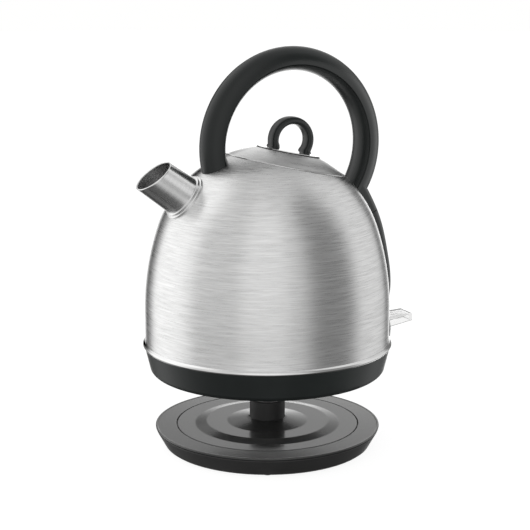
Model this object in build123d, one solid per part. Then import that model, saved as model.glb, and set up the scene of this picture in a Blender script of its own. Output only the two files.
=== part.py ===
from build123d import *
import os
from math import cos, pi, radians, sin, sqrt

# Cordless electric kettle with a domed steel body on a round power base.
# Millimetres, +Z up. The origin is on the common axis of kettle and base, on the table.
# The spout points to -X, the handle's spine and the switch lever to +X, and XZ is the
# symmetry plane. The kettle is drawn lifted off its base by `lift`.

os.makedirs("parts", exist_ok=True)

# ---- driving dimensions: the power base ----
base_radius = 80.0
base_rim_top = 15.2
tray_bottom = 0.8
tray_bottom_radius = 73.6
tray_top = 12.9
plate_radius = 64.6
groove_width = 0.6
post_radius = 12.6
post_top = 33.0
foot_ring_radius = 67.4
base_turn = -116.0  # how far the base happens to be turned under the kettle, degrees
screw_ring_radius = 50.0

# ---- driving dimensions: how far the kettle is lifted, and its gap when seated ----
lift = 39.3
seat_gap = 0.4

# ---- driving dimensions: the domed steel body ----
wall = 0.8
cap_radius = 80.6
cap_centre = 133.4
joint_angle = 1.24  # angle from vertical where the cap meets the side arc, radians
side_radius = 185.1
steel_bottom = 74.5

# ---- driving dimensions: bottom end of the kettle ----
trim_top = 77.2
trim_bottom = 73.7
trim_radius = 88.2
skirt_bottom = base_rim_top + seat_gap + lift
skirt_bottom_radius = 79.0
heater_top = 81.0
socket_radius = 13.2
socket_roof = 74.6

# ---- driving dimensions: the lid ----
lid_tilt = radians(12.1)
lid_seam = 68.2  # seam plane's distance from the cap's centre
lid_radius = 42.6
neck_radius = 43.1
collar_radius = 38.0
knob_loop_radius = 13.6
knob_loop_height = 17.9
knob_half_thickness = 2.9
knob_half_width = 5.8
knob_plate_radius = 22.4
knob_plate_top = 9.4

# ---- driving dimensions: the spout ----
spout_rise = radians(35.8)
lip_rise = radians(52.1)
lip_x = -85.2
lip_z = 198.9
spout_root_radius = 14.7
spout_taper = 1.0 / 27.0
spout_wall = 1.0

# ---- driving dimensions: the handle loop and its spine ----
loop_x = 18.4
loop_z = 213.6
loop_radius = 60.4
grip_radius = 12.3
grip_drop = 4.0  # the grip's parting plane lies this far inside the loop's centre line
grip_depth = 8.3  # from the loop's centre line to the innermost point of the grip
spine_half_width = 12.0
spine_wall = 1.8
spine_bottom = 68.5
seam_angle = 68.7  # of the spine's joint, from vertical, about the cap's centre, degrees

# ---- driving dimensions: the switch lever ----
pivot_x = 91.3
pivot_z = 80.0
pivot_radius = 1.2
lever_tip = 115.8
lever_half_width = 7.4


# ---------------------------------------------------------------- helpers
def save(name, shape):
    """Write one sub-part to parts/NAME.step."""
    export_step(shape, f"parts/{name}.step")


def turned(*outline):
    """Solid of revolution about Z from (radius, height) corners."""
    return revolve(Plane.XZ * make_face(Polyline(*outline, close=True)), Axis.Z)


def turned_edges(edges):
    """Solid of revolution about Z from a closed chain of (radius, height) edges."""
    return revolve(Plane.XZ * make_face(edges), Axis.Z)


def tube(inner, outer, low, high):
    """Upright ring between two radii and two heights."""
    return turned((inner, low), (outer, low), (outer, high), (inner, high))


def rod(radius, low, high):
    """Upright cylinder between two heights."""
    return Pos(0, 0, low) * Cylinder(radius, high - low, align=(Align.CENTER, Align.CENTER, Align.MIN))


def block(x_low, x_high, y_low, y_high, z_low, z_high):
    """Box between two corners."""
    corner = (Align.MIN, Align.MIN, Align.MIN)
    return Pos(x_low, y_low, z_low) * Box(x_high - x_low, y_high - y_low, z_high - z_low, align=corner)


def around(shape, count, start=0.0):
    """Copies of a shape spaced evenly about Z."""
    return [Rot(0, 0, start + 360.0 * index / count) * shape for index in range(count)]


def together(shapes):
    """Several separate solids as one node."""
    solids = []
    for shape in shapes:
        solids.extend(shape.solids())
    return Compound(children=solids)


def union(shapes):
    """Several touching solids fused into one."""
    result = shapes[0]
    for shape in shapes[1:]:
        result = result + shape
    return result


def screw(head_radius, head_height, shank_radius, shank_length):
    """Pan-head screw: the head is below z = 0, the shank above, with a cross recess."""
    edge = head_radius * 0.25
    body = turned(
        (0, -head_height),
        (head_radius - edge, -head_height),
        (head_radius, -head_height + edge),
        (head_radius, 0),
        (shank_radius, 0),
        (shank_radius, shank_length - shank_radius * 0.5),
        (shank_radius * 0.5, shank_length),
        (0, shank_length),
    )
    slot = Box(head_radius * 1.1, head_radius * 0.28, head_height)
    recess = slot + Rot(0, 0, 90) * slot
    return body - Pos(0, 0, -head_height) * recess


# ---------------------------------------------------------------- shared forms
side_centre_r = -(side_radius - cap_radius) * sin(joint_angle)
side_centre_z = cap_centre - (side_radius - cap_radius) * cos(joint_angle)
body_radius = side_centre_r + side_radius


def dome(offset, bottom=60.0):
    """The body's filled outer form, grown by an offset: a cap arc, a side arc and a wall."""
    cap = cap_radius + offset
    side = side_radius + offset
    half = joint_angle / 2
    low_half = (joint_angle + pi / 2) / 2
    apex = (0, cap_centre + cap)
    cap_middle = (cap * sin(half), cap_centre + cap * cos(half))
    joint = (cap * sin(joint_angle), cap_centre + cap * cos(joint_angle))
    side_middle = (side_centre_r + side * sin(low_half), side_centre_z + side * cos(low_half))
    wall_top = (side_centre_r + side, side_centre_z)
    wall_foot = (wall_top[0], bottom)
    return turned_edges([
        Line((0, bottom), apex),
        ThreePointArc(apex, cap_middle, joint),
        ThreePointArc(joint, side_middle, wall_top),
        Line(wall_top, wall_foot),
        Line(wall_foot, (0, bottom)),
    ])


lid_frame = Plane(
    origin=(lid_seam * sin(lid_tilt), 0, cap_centre + lid_seam * cos(lid_tilt)),
    x_dir=(cos(lid_tilt), 0, -sin(lid_tilt)),
    z_dir=(sin(lid_tilt), 0, cos(lid_tilt)),
)

# the spout's axis meets the dome at this distance below the middle of its lip
axis_x = -cos(spout_rise)
axis_z = sin(spout_rise)
lip_dot = lip_x * axis_x + (lip_z - cap_centre) * axis_z
lip_far = lip_x ** 2 + (lip_z - cap_centre) ** 2 - cap_radius ** 2
spout_length = lip_dot - sqrt(lip_dot ** 2 - lip_far)
spout_frame = Plane(
    origin=(lip_x - spout_length * axis_x, 0, lip_z - spout_length * axis_z),
    x_dir=(sin(spout_rise), 0, cos(spout_rise)),
    z_dir=(axis_x, 0, axis_z),
)
lip_plane = Plane(origin=(lip_x, 0, lip_z), z_dir=(-cos(lip_rise), 0, sin(lip_rise)))
spout_inside = 5.0  # how far the tube reaches into the body


def spout_cone(grow, below, above):
    """The spout's tapering round form, from below the dome's surface to above the lip."""
    low_radius = spout_root_radius + grow + below * spout_taper
    high_radius = spout_root_radius + grow - above * spout_taper
    cone = Cone(low_radius, high_radius, below + above, align=(Align.CENTER, Align.CENTER, Align.MIN))
    return spout_frame * Pos(0, 0, -below) * cone


def loop_turn(section, start, sweep_angle):
    """Turn a grip section about the loop's centre, from a start angle above +X, degrees."""
    face = Plane(
        origin=(loop_x, 0, loop_z),
        x_dir=(cos(radians(start)), 0, sin(radians(start))),
        z_dir=(sin(radians(start)), 0, -cos(radians(start))),
    ) * section
    return revolve(face, Axis((loop_x, 0, loop_z), (0, -1, 0)), sweep_angle)


def grip_outer_section(shrink):
    """The grip's outer half-round, in (distance from the loop's centre, width)."""
    centre = loop_radius - grip_drop
    radius = grip_radius - shrink
    half = Circle(radius) & (Pos(radius, 0) * Rectangle(2 * radius, 4 * radius))
    return Pos(centre, 0) * half


def grip_inner_section():
    """The shallow crescent that closes the grip on its inner side."""
    chord = loop_radius - grip_drop
    crown = loop_radius - grip_depth
    return make_face([
        Line((chord, -grip_radius), (chord, grip_radius)),
        ThreePointArc((chord, grip_radius), (crown, 0), (chord, -grip_radius)),
    ])


loop_rear = -42.0
loop_front = 206.0
loop_sweep = loop_front - loop_rear


def spine_form(half_width, thin, low, top_angle):
    """The spine's filled form behind the dome, up to a radial plane of the cap."""
    outer_top = (76.0 - thin, 179.5)
    widest = (95.8 - thin, 110.0)
    waist = (94.5 - thin, 88.0)
    foot = (96.2 - thin, low)
    edge = [
        Spline(
            outer_top,
            (86.5 - thin, 157.8),
            (93.0 - thin, 132.5),
            widest,
            tangents=((1.0, -1.75), (0, -1)),
        ),
        Spline(widest, waist, (96.5 - thin, 76.0), foot, tangents=((0, -1), (0, -1))),
        Line(foot, (60.0, low)),
        Line((60.0, low), (60.0, 190.0)),
        Line((60.0, 190.0), outer_top),
    ]
    face = Plane.XZ * make_face(edge)
    form = extrude(face, half_width, both=True)
    if thin == 0:
        outline = [
            item for item in form.edges()
            if abs(abs(item.center().Y) - half_width) < 0.01 and item.center().X > 79
        ]
        form = fillet(outline, 4.5)
    angle = radians(top_angle)
    cut = Plane(origin=(0, 0, cap_centre), z_dir=(cos(angle), 0, -sin(angle)))
    return split(form, bisect_by=cut, keep=Keep.TOP)


# ---------------------------------------------------------------- power base
def ramp(outer, inner):
    """Even rise from an outer to an inner (radius, height) point, with short soft ends."""
    soft = (outer[0] - inner[0]) * 0.14
    return Bezier(outer, (outer[0] - soft, outer[1]), (inner[0] + soft, inner[1]), inner)


def make_base_tray():
    """Lower shell of the base: a shallow cup with flared wall, bosses and foot pockets."""
    shell = turned(
        (0, tray_bottom),
        (tray_bottom_radius - 1.6, tray_bottom),
        (tray_bottom_radius, tray_bottom + 1.2),
        (base_radius - 0.7, 12.4),
        (base_radius - 0.7, tray_top),
        (base_radius - 3.0, tray_top),
        (tray_bottom_radius - 2.0, 3.4),
        (0, 3.4),
    )
    boss = Pos(screw_ring_radius, 0, 0) * tube(1.8, 4.6, 2.4, 12.0)
    counterbore = Pos(screw_ring_radius, 0, 0) * rod(3.4, 0, 5.0)
    clearance = Pos(screw_ring_radius, 0, 0) * rod(1.8, 0, 13.0)
    pocket = Pos(foot_ring_radius, 0, 0) * rod(4.3, 0, 2.2)
    keel = tube(30.0, 32.0, tray_bottom + 2.0, 6.0)
    shell = shell + keel
    for item in around(boss, 3, base_turn + 60):
        shell = shell + item
    for item in around(counterbore, 3, base_turn + 60):
        shell = shell - item
    for item in around(clearance, 3, base_turn + 60):
        shell = shell - item
    for item in around(pocket, 3, base_turn):
        shell = shell - item
    return shell - Rot(0, 0, base_turn + 180) * (Pos(70, 0, 8.1) * Rot(0, 90, 0) * Cylinder(4.2, 30))


def make_base_rim():
    """Flat outer ring of the base's top, rounded at its edge, with a ledge for the plate."""
    inner = plate_radius + groove_width
    flat_end = (base_radius - 2.4, base_rim_top)
    round_end = (base_radius, base_rim_top - 2.0)
    return turned_edges([
        Polyline(
            round_end,
            (base_radius - 0.4, tray_top),
            (inner + 1.6, tray_top),
            (inner + 1.6, tray_top - 2.0),
            (inner - 2.7, tray_top - 2.0),
            (inner - 2.7, tray_top),
            (inner, tray_top),
            (inner, base_rim_top),
            flat_end,
        ),
        ThreePointArc(flat_end, (base_radius - 0.6, base_rim_top - 0.7), round_end),
    ])


def make_base_plate():
    """Centre disc of the base: a flat, a step, a second flat and a cone up to the post."""
    flat = base_rim_top
    shelf = 17.1
    crown = 20.2
    thick = 1.9
    bore = post_radius + 0.2
    disc = turned_edges([
        Line((bore, crown - thick), (bore, crown)),
        Line((bore, crown), (14.0, crown)),
        ramp((29.2, shelf), (14.0, crown)),
        Line((29.2, shelf), (43.0, shelf)),
        ramp((52.0, flat), (43.0, shelf)),
        Line((52.0, flat), (plate_radius, flat)),
        Line((plate_radius, flat), (plate_radius, tray_top)),
        Line((plate_radius, tray_top), (52.5, tray_top)),
        Line((52.5, tray_top), (44.0, shelf - thick)),
        Line((44.0, shelf - thick), (29.5, shelf - thick)),
        Line((29.5, shelf - thick), (16.0, crown - thick)),
        Line((16.0, crown - thick), (bore, crown - thick)),
    ])
    boss = Pos(screw_ring_radius, 0, 0) * tube(1.6, 4.2, 12.1, 13.6)
    for item in around(boss, 3, base_turn + 60):
        disc = disc + item
    return disc


contact_slots = ((5.7, 8.0), (8.9, 10.9))


def make_connector_post():
    """Round turret in the middle of the base, with a pin hole and two ring slots."""
    post = turned(
        (0, 9.0), (24.0, 9.0), (24.0, 11.0), (post_radius, 11.0), (post_radius, post_top - 0.8),
        (post_radius - 0.8, post_top), (0, post_top),
    )
    post = post - rod(2.8, 22.0, post_top + 1)
    for inner, outer in contact_slots:
        post = post - tube(inner, outer, 23.0, post_top + 1)
    for item in around(Pos(19.0, 0, 0) * rod(1.7, 8, 12), 3, base_turn):
        post = post - item
    return post


def make_post_contacts():
    """Three brass springs standing in the post's hole and slots."""
    strips = []
    for radius, angle in ((2.1, 0), (7.3, 120), (10.2, 240)):
        strips.append(Rot(0, 0, angle) * block(radius, radius + 0.4, -0.9, 0.9, 23.1, post_top - 1.5))
    return together(strips)


def make_rubber_feet():
    """Three domed rubber feet, pressed into pockets under the tray."""
    foot = turned((0, 0), (3.2, 0), (4.1, 0.7), (4.1, 2.1), (0, 2.1))
    return together(around(Pos(foot_ring_radius, 0, 0) * foot, 3, base_turn))


def make_base_screws():
    """Three screws that hold the tray to the plate."""
    item = Pos(screw_ring_radius, 0, 5.0) * screw(3.1, 1.7, 1.55, 8.2)
    return together(around(item, 3, base_turn + 60))


def make_cord_bush():
    """Grommet in the base's wall where the supply lead would enter."""
    bush = turned((3.2, -8.0), (4.6, -8.0), (4.6, -6.2), (4.2, -6.0), (4.2, 3.4), (3.2, 4.4))
    place = Rot(0, 0, base_turn + 180) * Pos(75.0, 0, 8.1) * Rot(0, 90, 0)
    return place * bush


def make_cord_clamp():
    """Bridge that grips the lead inside the tray."""
    bridge = block(58.0, 62.0, -11.0, 11.0, 3.5, 10.5)
    bridge = bridge - Pos(60, 0, 3.5) * Rot(0, 90, 0) * Cylinder(3.4, 6)
    for side in (-8.0, 8.0):
        bridge = bridge - Pos(60.0, side, 0) * rod(1.2, 3, 11)
    return Rot(0, 0, base_turn + 180) * bridge


def make_cord_clamp_screws():
    """Two screws of the cord clamp."""
    items = []
    for side in (-8.0, 8.0):
        items.append(Pos(60.0, side, 10.5) * Rot(180, 0, 0) * screw(1.9, 1.2, 1.2, 6.8))
    return together([Rot(0, 0, base_turn + 180) * item for item in items])


# ---------------------------------------------------------------- kettle: bottom end
def make_skirt():
    """Plastic chassis: tapered outer wall, rounded foot, inner shelf and screw bosses."""
    top = trim_bottom
    foot = skirt_bottom
    shelf = 64.5
    outer_top = 87.0
    wall_low = 83.4
    body = turned_edges([
        Polyline((outer_top - 2.6, top), (outer_top, top), (wall_low, foot + 4.0)),
        ThreePointArc(
            (wall_low, foot + 4.0),
            (wall_low - 1.4, foot + 1.2),
            (skirt_bottom_radius, foot),
        ),
        Polyline(
            (skirt_bottom_radius, foot),
            (75.2, foot),
            (75.2, foot + 2.4),
            (78.6, foot + 2.4),
            (80.6, foot + 4.6),
            (82.0, shelf),
            (58.0, shelf),
            (58.0, shelf + 2.0),
            (82.4, shelf + 2.0),
            (outer_top - 2.6, top),
        ),
    ])
    boss = Pos(66.0, 0, 0) * tube(1.4, 3.8, skirt_bottom + 3.9, shelf + 0.5)
    for item in around(boss, 3, 60):
        body = body + item
    return body


cover_low = skirt_bottom + 1.7


def make_bottom_cover():
    """Recessed underside disc, stepped to clear the raised middle of the base."""
    low = cover_low
    disc = turned(
        (16.4, low + 4.2), (30.0, low + 1.7), (40.0, low + 1.7), (46.0, low), (74.8, low),
        (74.8, low + 2.0), (46.8, low + 2.0), (40.8, low + 3.7), (30.3, low + 3.7), (16.4, low + 6.2),
    )
    pocket = Pos(66.0, 0, 0) * rod(3.6, low - 1, low + 1.4)
    hole = Pos(66.0, 0, 0) * rod(1.7, low, low + 3)
    for item in around(pocket, 3, 60):
        disc = disc - item
    for item in around(hole, 3, 60):
        disc = disc - item
    for item in around(block(50.0, 62.0, -0.8, 0.8, low + 1.9, low + 4.0), 12):
        disc = disc + item
    return disc


def make_bottom_screws():
    """Three screws that hold the underside disc to the chassis."""
    item = Pos(66.0, 0, cover_low + 1.4) * screw(3.2, 1.3, 1.35, 6.5)
    return together(around(item, 3, 60))


def make_trim_ring():
    """Bright rolled band that covers the joint of steel and skirt."""
    return turned_edges([
        Line((body_radius, trim_top), (body_radius + 0.7, trim_top)),
        ThreePointArc(
            (body_radius + 0.7, trim_top),
            (trim_radius, trim_top - 1.5),
            (87.2, trim_bottom),
        ),
        Polyline(
            (87.2, trim_bottom),
            (84.8, trim_bottom),
            (84.8, steel_bottom),
            (body_radius, steel_bottom),
            (body_radius, trim_top),
        ),
    ])


def make_heater_plate():
    """Steel disc that closes the water space, with a turned-down edge."""
    return turned(
        (0, heater_top - 1.0), (82.6, heater_top - 1.0), (82.6, heater_top - 3.5),
        (83.4, heater_top - 3.5), (83.4, heater_top), (0, heater_top),
    )


def make_plate_seal():
    """Silicone ring between the heater plate's edge and the steel wall."""
    return tube(83.4, body_radius - wall, heater_top - 3.0, heater_top + 1.5)


def make_heat_diffuser():
    """Aluminium disc bonded under the heater plate."""
    return tube(0, 56.0, heater_top - 4.0, heater_top - 1.0)


def make_heating_element():
    """Sheathed element bent to a horseshoe, with its two cold ends turned down."""
    bend = revolve(Plane.XZ * Pos(44.0, 73.5) * Circle(3.4), Axis.Z, 290.0)
    element = Rot(0, 0, 35.0) * bend
    for side in (-35.0, 35.0):
        element = element + Rot(0, 0, side) * Pos(44.0, 0, 0) * rod(2.0, 67.5, 73.5)
    return element


def make_control_housing():
    """Moulded temperature control with the round connector socket beneath it."""
    body = turned(
        (socket_radius, 60.6), (15.8, 60.6), (15.8, 64.6), (23.0, 64.6), (23.0, 76.4), (0, 76.4),
        (0, socket_roof), (socket_radius, socket_roof),
    )
    body = body + block(20.0, 38.0, -9.0, 9.0, 66.0, 76.0)
    for item in around(Pos(19.0, 0, 0) * rod(1.6, 64, 77), 3, 60):
        body = body - item
    return body


def make_control_screws():
    """Three screws that clamp the control to the diffuser."""
    return together(around(Pos(19.0, 0, 64.6) * screw(2.7, 1.5, 1.6, 11.6), 3, 60))


def make_bimetal_discs():
    """Two snap discs between the control and the hot diffuser."""
    disc = turned((0, 76.45), (7.0, 76.45), (7.0, 76.75), (3.0, 76.95), (0, 76.95))
    return together([Pos(0, side, 0) * disc for side in (-9.0, 9.0)])


def make_element_leads():
    """Two copper straps from the control to the element's ends."""
    end_x = 44.0 * cos(radians(35.0))
    end_y = 44.0 * sin(radians(35.0))
    straps = []
    for side in (-1, 1):
        strap = block(33.0, end_x + 1.5, 9.0, 12.0, 67.2, 68.0)
        strap = strap + block(end_x - 1.5, end_x + 1.5, 9.0, end_y - 1.0, 67.2, 68.0)
        strap = strap - Pos(end_x, end_y, 0) * rod(2.0, 67, 69)
        straps.append(strap if side > 0 else mirror(strap, Plane.XZ))
    return together(straps)


# ---------------------------------------------------------------- connector insert
carrier_low = 72.8
carrier_high = socket_roof - 0.3


def make_contact_carrier():
    """Round insulator inside the socket that holds the pin and the rings."""
    return tube(0, socket_radius - 0.5, carrier_low, carrier_high)


def make_earth_pin():
    """Centre pin of the connector."""
    return turned((0, 65.0), (0.9, 65.0), (1.5, 65.8), (1.5, carrier_low), (0, carrier_low))


def make_contact_rings():
    """Two round contact rings of the connector."""
    return together([tube(6.2, 6.8, 66.0, carrier_low), tube(9.2, 9.8, 66.0, carrier_low)])


# ---------------------------------------------------------------- kettle: body and spout
def foot_frame(x_place, z_place):
    """Frame on the dome's surface, its Z along the dome's normal there."""
    reach = sqrt(x_place ** 2 + (z_place - cap_centre) ** 2)
    across = x_place / reach
    upward = (z_place - cap_centre) / reach
    return Plane(
        origin=(cap_radius * across, 0, cap_centre + cap_radius * upward),
        x_dir=(upward, 0, -across),
        z_dir=(across, 0, upward),
    )


front_foot = foot_frame(-39.5, 203.6)
rear_foot = foot_frame(66.5, 182.0)
steam_angle = 66.5  # of the steam port, from vertical, about the cap's centre, degrees
steam_port = foot_frame(sin(radians(steam_angle)), cap_centre + cos(radians(steam_angle)))
tube_way = 4.2  # of the steam tube's centre line from the dome
tube_x = body_radius + tube_way
screw_pitch = 5.0


def make_body_shell():
    """Brushed steel dome with a turned-in neck for the lid and holes for what is fixed to it."""
    shell = dome(0, steel_bottom) - dome(-wall, steel_bottom - 1)
    neck_wall = neck_radius + wall
    shell = shell - lid_frame * Pos(0, 0, -20) * rod(neck_radius, 0, 60)
    neck = tube(neck_radius, neck_wall, -5.0, 12.0)
    neck = (lid_frame * neck) & dome(0)
    flange = turned(
        (39.2, -9.0), (40.0, -9.0), (40.0, -5.0), (neck_wall, -5.0), (neck_wall, -4.2), (39.2, -4.2),
    )
    shell = shell + neck + lid_frame * flange
    shell = shell - spout_cone(0.15, 12.0, 20.0)
    for frame in (front_foot, rear_foot):
        for side in (-screw_pitch, screw_pitch):
            shell = shell - frame * Pos(0, side, 0) * rod(2.3, -3, 3)
    return shell - steam_port * rod(2.7, -3, 3)


def make_spout_tube():
    """Tapered steel spout with an obliquely cut, slightly thickened lip."""
    reach = spout_length + 12.0
    outer = spout_cone(0, spout_inside, reach)
    inner = spout_cone(-spout_wall, spout_inside + 1, reach + 1)
    return split(outer - inner, bisect_by=lip_plane, keep=Keep.BOTTOM)


def make_spout_collar():
    """Stepped flange around the spout's root, lying on the dome."""
    column = Align.CENTER, Align.CENTER, Align.MIN
    wide = (spout_frame * Pos(0, 0, -12) * Cylinder(17.0, 30, align=column)) & dome(1.4)
    narrow = (spout_frame * Pos(0, 0, -12) * Cylinder(15.9, 30, align=column)) & dome(2.9)
    return (wide + narrow) - dome(0) - spout_cone(0, 14, 25)


def make_spout_filter():
    """Perforated cup over the spout's inner mouth."""
    cup = turned((0, -7.2), (16.2, -7.2), (16.2, -4.6), (15.3, -4.6), (15.3, -6.6), (0, -6.6))
    for ring in range(4):
        for index in range(max(1, 6 * ring)):
            angle = 360.0 * index / max(1, 6 * ring)
            cup = cup - Rot(0, 0, angle) * Pos(4.0 * ring, 0, 0) * rod(1.1, -8, -6)
    return spout_frame * cup


# ---------------------------------------------------------------- kettle: handle and spine
def make_handle_outer():
    """Outer half of the grip: a half-round channel along the loop."""
    section = grip_outer_section(0) - grip_outer_section(2.4)
    channel = loop_turn(section, loop_rear, loop_sweep)
    return largest(channel - dome(0))


def make_handle_inner():
    """Inner half of the grip: a shallow crowned strip closing the channel."""
    pocket = Pos(loop_radius - grip_drop, 0) * Rectangle(2.6, 17.0)
    strip = loop_turn(grip_inner_section() - pocket, loop_rear, loop_sweep)
    return largest(strip - dome(0))


def largest(shape):
    """Only the biggest solid of a result."""
    return max(shape.solids(), key=lambda item: item.volume)


def grip_fill(start, sweep_angle):
    """The whole grip section, filled, over part of the loop."""
    whole = grip_outer_section(0) + grip_inner_section()
    return loop_turn(whole, start, sweep_angle)


def make_handle_root():
    """Top piece of the spine, from under the grip down to the cross joint."""
    block_form = spine_form(spine_half_width, 0, spine_bottom, 40.0)
    joint = Plane(
        origin=(0, 0, cap_centre),
        z_dir=(cos(radians(seam_angle)), 0, -sin(radians(seam_angle))),
    )
    root = split(block_form, bisect_by=joint, keep=Keep.BOTTOM)
    hollow = split(spine_form(spine_half_width - 2.2, spine_wall, spine_bottom, 60.0), bisect_by=joint,
                   keep=Keep.BOTTOM)
    root = root - hollow - dome(0) - grip_fill(loop_rear - 6, 40)
    return largest(root)


def make_anchor(frame, start, sweep_angle):
    """Block inside one end of the grip that the fixing screws enter."""
    filler = loop_turn(grip_outer_section(2.5), start, sweep_angle) - dome(0)
    for side in (-screw_pitch, screw_pitch):
        filler = filler - frame * Pos(0, side, 0) * rod(2.0, -3, 6.5)
    return largest(filler)


def make_handle_screws():
    """Four screws from inside the body into the ends of the grip."""
    items = []
    for frame in (front_foot, rear_foot):
        for side in (-screw_pitch, screw_pitch):
            items.append(frame * Pos(0, side, -2.0) * screw(3.6, 2.2, 2.0, 8.0))
    return together(items)


def make_handle_washers():
    """Four sealing washers under the screws' heads."""
    items = []
    for frame in (front_foot, rear_foot):
        for side in (-screw_pitch, screw_pitch):
            items.append(frame * Pos(0, side, 0) * tube(2.1, 4.4, -2.0, -1.35))
    return together(items)


def make_spine_cover():
    """Long rear cover from the cross joint to the switch, open for the lever."""
    joint = seam_angle + 0.35
    outer = spine_form(spine_half_width, 0, spine_bottom, joint)
    inner = spine_form(spine_half_width - spine_wall, spine_wall, spine_bottom + spine_wall, joint - 3)
    cover = outer - inner - dome(0) - rod(trim_radius + 0.3, 60, 78.5)
    cover = cover - block(87.6, 102, -8.1, 8.1, 73.9, 86.2)
    cover = cover - Pos(pivot_x, 0, pivot_z) * Rot(90, 0, 0) * Cylinder(pivot_radius, 40)
    return largest(cover)


def make_spine_liner():
    """Thin channel floor between the steel and the steam tube."""
    return (dome(1.3) - dome(0.1, 59)) & block(60, 100, -9.6, 9.6, 96, 150)


def steam_path(radius):
    """The steam tube's filled round form at a given radius."""
    side_arc = side_radius + tube_way
    rise = 90.0 - joint_angle * 180.0 / pi
    low_circle = Plane(origin=(side_centre_r, 0, side_centre_z), x_dir=(1, 0, 0), z_dir=(0, 0, 1))
    lower = revolve(
        low_circle * Pos(side_arc, 0) * Circle(radius),
        Axis((side_centre_r, 0, side_centre_z), (0, -1, 0)),
        rise,
    )
    high_dir = (cos(radians(rise)), 0, sin(radians(rise)))
    high_up = (-sin(radians(rise)), 0, cos(radians(rise)))
    high_circle = Plane(origin=(0, 0, cap_centre), x_dir=high_dir, z_dir=high_up)
    upper = revolve(
        high_circle * Pos(cap_radius + tube_way, 0) * Circle(radius),
        Axis((0, 0, cap_centre), (0, -1, 0)),
        90.0 - steam_angle - rise,
    )
    return lower + upper + steam_port * rod(radius, -1.5, tube_way)


def make_steam_tube():
    """Silicone tube that leads steam from the dome down to the thermostat."""
    return steam_path(2.5) - steam_path(1.7)


def make_steam_thermostat():
    """Snap-action bimetal carrier at the lower end of the steam tube."""
    body = block(86.8, 92.4, -9.0, 9.0, 89.0, 95.5)
    body = body + block(88.2, 92.6, -7.0, 7.0, 95.5, 98.6)
    return body - dome(0.2) - Pos(tube_x, 0, 0) * rod(1.5, 90, 100)


def make_switch_lamp():
    """Small lamp that lights the clear lever."""
    bulb = turned((0, 0), (1.5, 0), (1.5, 3.6), (0.9, 4.9), (0, 5.3))
    return Pos(87.0, 0, 87.2) * Rot(0, 90, 0) * bulb


def make_pivot_pin():
    """Steel pin that the lever turns on."""
    return Pos(pivot_x, 0, pivot_z) * Rot(90, 0, 0) * Cylinder(pivot_radius, 22.0)


# ---------------------------------------------------------------- switch lever
def make_switch_lever():
    """Clear channel-section lever: a top plate, two webs, an end lip and a hinge barrel."""
    plate = [
        (pivot_x, 81.9), (lever_tip - 1.6, 82.9), (lever_tip, 83.4), (lever_tip, 84.4),
        (lever_tip - 1.2, 84.9), (pivot_x + 2.0, 83.9), (pivot_x, 83.0),
    ]
    web = [
        (pivot_x, 77.0), (97.0, 76.2), (lever_tip - 0.5, 79.0), (lever_tip, 79.6), (lever_tip, 84.4),
        (lever_tip - 1.2, 84.9), (pivot_x + 2.0, 83.9), (pivot_x, 83.0),
    ]
    top = extrude(Plane.XZ * make_face(Polyline(*plate, close=True)), lever_half_width, both=True)
    side = extrude(Plane.XZ * make_face(Polyline(*web, close=True)), 0.8, both=True)
    lip = block(lever_tip - 1.7, lever_tip, -lever_half_width, lever_half_width, 79.4, 84.0)
    barrel = Pos(pivot_x, 0, pivot_z) * Rot(90, 0, 0) * Cylinder(3.0, 2 * lever_half_width)
    parts = [top, lip, barrel]
    for place in (-lever_half_width + 0.8, lever_half_width - 0.8):
        parts.append(Pos(0, place, 0) * side)
    for place in (-2.4, 2.4):
        parts.append(Pos(0, place, 0) * block(94.0, lever_tip - 3, -0.5, 0.5, 80.4, 82.5))
    lever = union(parts)
    return lever - Pos(pivot_x, 0, pivot_z) * Rot(90, 0, 0) * Cylinder(pivot_radius + 0.05, 30)


# ---------------------------------------------------------------- lid
def make_lid_cap():
    """Steel outer skin of the lid, flush with the dome, with a dished seat for the knob."""
    skin = dome(0) - dome(-wall, 59)
    skin = skin & (lid_frame * rod(lid_radius, -2.0, 40))
    rim = (lid_frame * tube(lid_radius - wall, lid_radius, -3.6, 12)) & dome(0)
    seat_radius = knob_plate_radius + 0.5
    skin = skin + rim - lid_frame * rod(seat_radius, -2, 40)
    cup = tube(0, seat_radius + 0.7, knob_plate_top - 1.9, knob_plate_top - 1.2)
    cup = cup + tube(seat_radius, seat_radius + 0.7, knob_plate_top - 1.9, knob_plate_top + 2)
    cup = (lid_frame * cup) & dome(0)
    cap = skin + cup
    return cap - lid_frame * (Pos(-knob_loop_radius, 0, 0) * rod(1.7, 0, 12)
                              + Pos(knob_loop_radius, 0, 0) * rod(1.7, 0, 12))


def make_lid_pan():
    """Inner closure of the lid: a cup that fills the neck, with a rim under the skin."""
    pan = turned(
        (0, -14.0), (36.4, -14.0), (collar_radius, -12.8), (collar_radius, -8.6), (37.0, -8.6),
        (37.0, -6.4), (collar_radius, -6.4), (collar_radius, -3.0), (41.6, -3.0), (41.6, -1.8),
        (36.6, -1.8), (36.6, -12.6), (0, -12.6),
    )
    for index in range(8):
        slot = Rot(0, 0, 45.0 * index) * Pos(24.0, 0, 0) * rod(1.6, -15, -12)
        pan = pan - slot
    return lid_frame * pan


def make_lid_seal():
    """Silicone lip ring in the pan's groove."""
    ring = turned((37.0, -8.6), (38.5, -8.6), (38.9, -7.5), (38.5, -6.4), (37.0, -6.4))
    return lid_frame * ring


def make_knob_plate():
    """Flat polished disc under the knob."""
    low = knob_plate_top - 1.2
    disc = turned(
        (0, low), (knob_plate_radius, low), (knob_plate_radius, knob_plate_top - 0.3),
        (knob_plate_radius - 0.3, knob_plate_top), (0, knob_plate_top),
    )
    for side in (-knob_loop_radius, knob_loop_radius):
        disc = disc - Pos(side, 0, 0) * rod(1.7, low - 1, knob_plate_top + 1)
    return lid_frame * disc


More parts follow.
